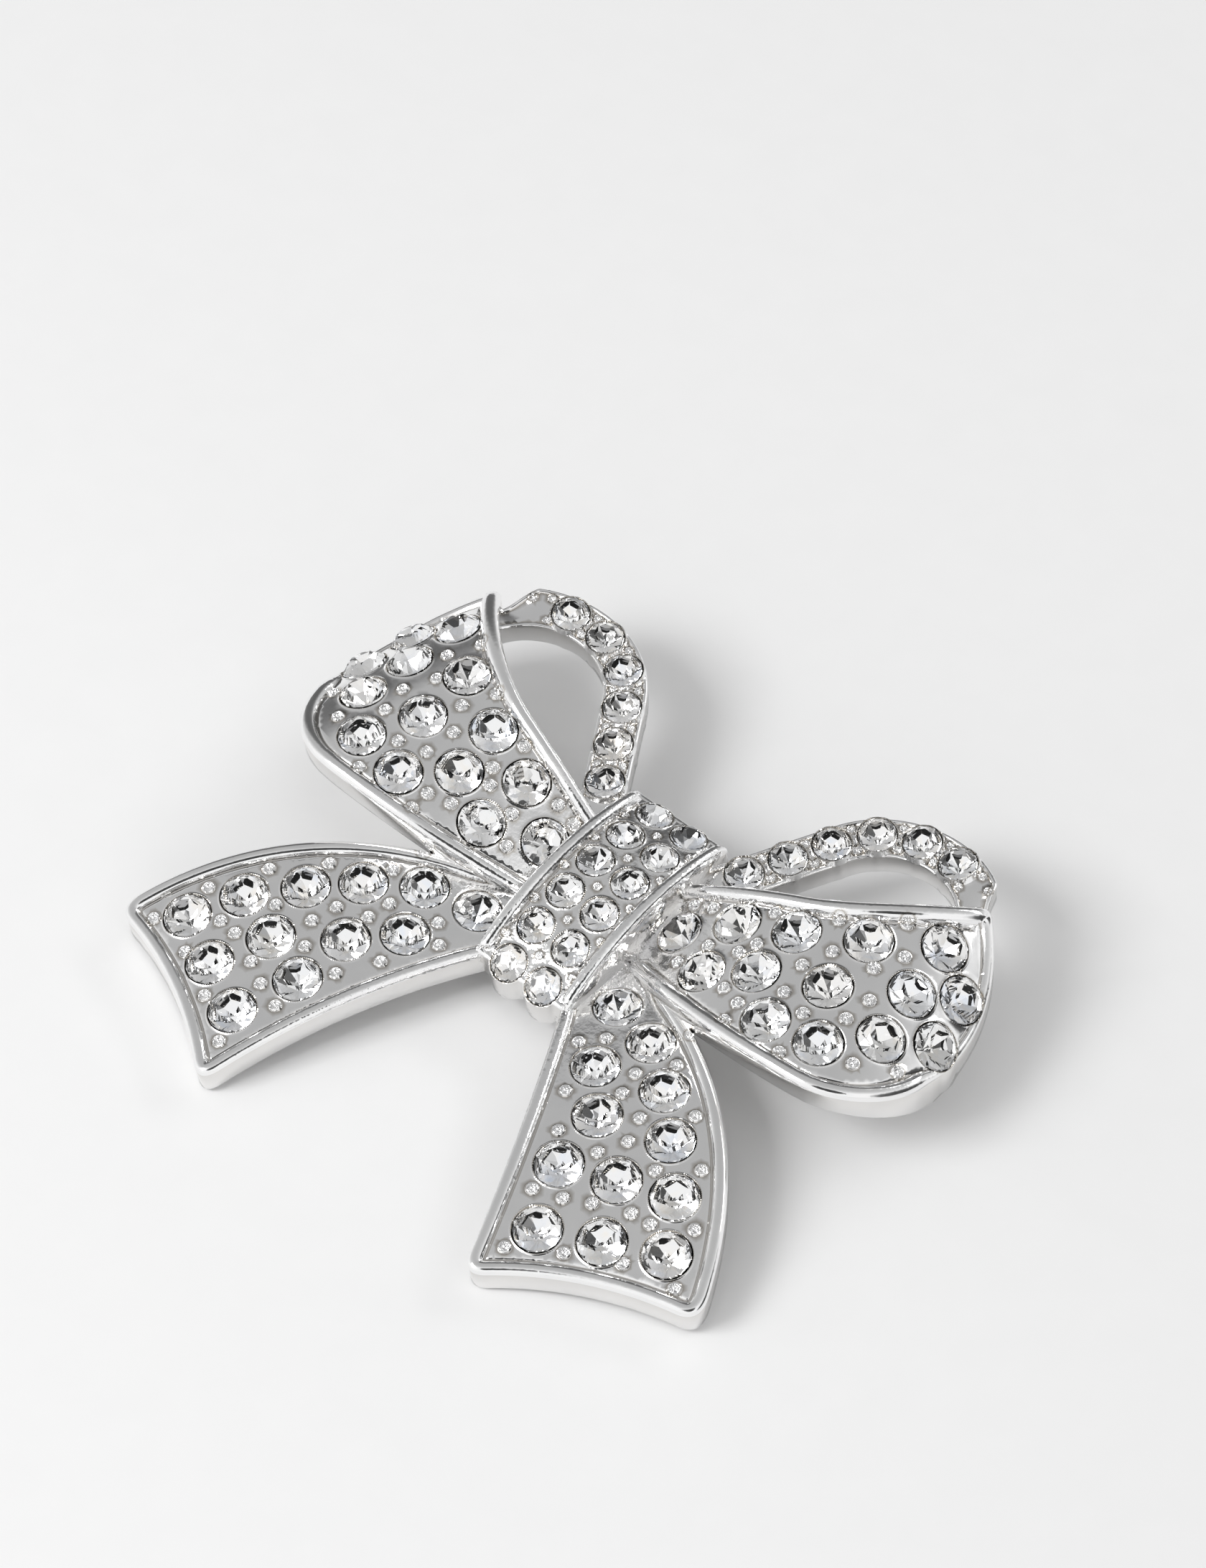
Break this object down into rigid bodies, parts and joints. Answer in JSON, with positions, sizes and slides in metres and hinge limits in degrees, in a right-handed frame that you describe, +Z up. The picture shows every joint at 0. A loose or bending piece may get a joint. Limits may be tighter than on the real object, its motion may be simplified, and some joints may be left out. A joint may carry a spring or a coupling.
{
  "type": "ribbon bow brooch",
  "caption": "Ribbon bow brooch in plated cast metal, paved with round crystals, with a hinged pin and a turning safety catch on its back.",
  "frame": {"origin": "centre of the footprint, on the surface that the brooch lies on, with its back down", "axes": "+X across the bow, +Y to the top of the bow, +Z up, out of its face"},
  "size_m": [0.0504, 0.0426, 0.0096],
  "materials": {
    "plated_casting": "bright silver-tone plating",
    "crystal": "clear faceted glass with a foiled back",
    "plated_steel": "bright plated steel"
  },
  "bodies": {
    "bow": {"left_tail": "plated_casting", "left_loop_front": "plated_casting", "left_loop_back": "plated_casting", "right_tail": "plated_casting", "right_loop_front": "plated_casting", "right_loop_back": "plated_casting", "knot_band": "plated_casting", "left_tail_crystals_1": "crystal", "left_tail_crystals_2": "crystal", "left_tail_crystals_3": "crystal", "left_tail_crystals_4": "crystal", "left_tail_crystals_5": "crystal", "left_tail_crystals_6": "crystal", "right_tail_crystals_1": "crystal", "right_tail_crystals_2": "crystal", "right_tail_crystals_3": "crystal", "right_tail_crystals_4": "crystal", "right_tail_crystals_5": "crystal", "right_tail_crystals_6": "crystal", "left_loop_crystals_1": "crystal", "left_loop_crystals_2": "crystal", "left_loop_crystals_3": "crystal", "left_loop_crystals_4": "crystal", "left_loop_crystals_5": "crystal", "left_loop_crystals_6": "crystal", "right_loop_crystals_1": "crystal", "right_loop_crystals_2": "crystal", "right_loop_crystals_3": "crystal", "right_loop_crystals_4": "crystal", "right_loop_crystals_5": "crystal", "right_loop_crystals_6": "crystal", "left_loop_back_crystals": "crystal", "left_knot_crystals": "crystal", "right_loop_back_crystals": "crystal", "right_knot_crystals": "crystal", "pin_bar": "plated_steel", "hinge_block": "plated_steel", "hinge_rivet": "plated_steel", "catch_block": "plated_steel"},
    "pin": {"pin_stem": "plated_steel"},
    "lock": {"catch_lock": "plated_steel"}
  },
  "joints": [
    {"name": "pin_hinge", "type": "hinge", "parent": "bow", "child": "pin", "pos_m": [-0.012, 0.00896, 0.00121], "axis": [0, 0.9928, 0.1201], "range_deg": [0, 120]},
    {"name": "lock_turn", "type": "hinge", "parent": "bow", "child": "lock", "pos_m": [0.012, 0.00896, 0.00121], "axis": [-1, 0, 0], "range_deg": [0, 100]}
  ]
}
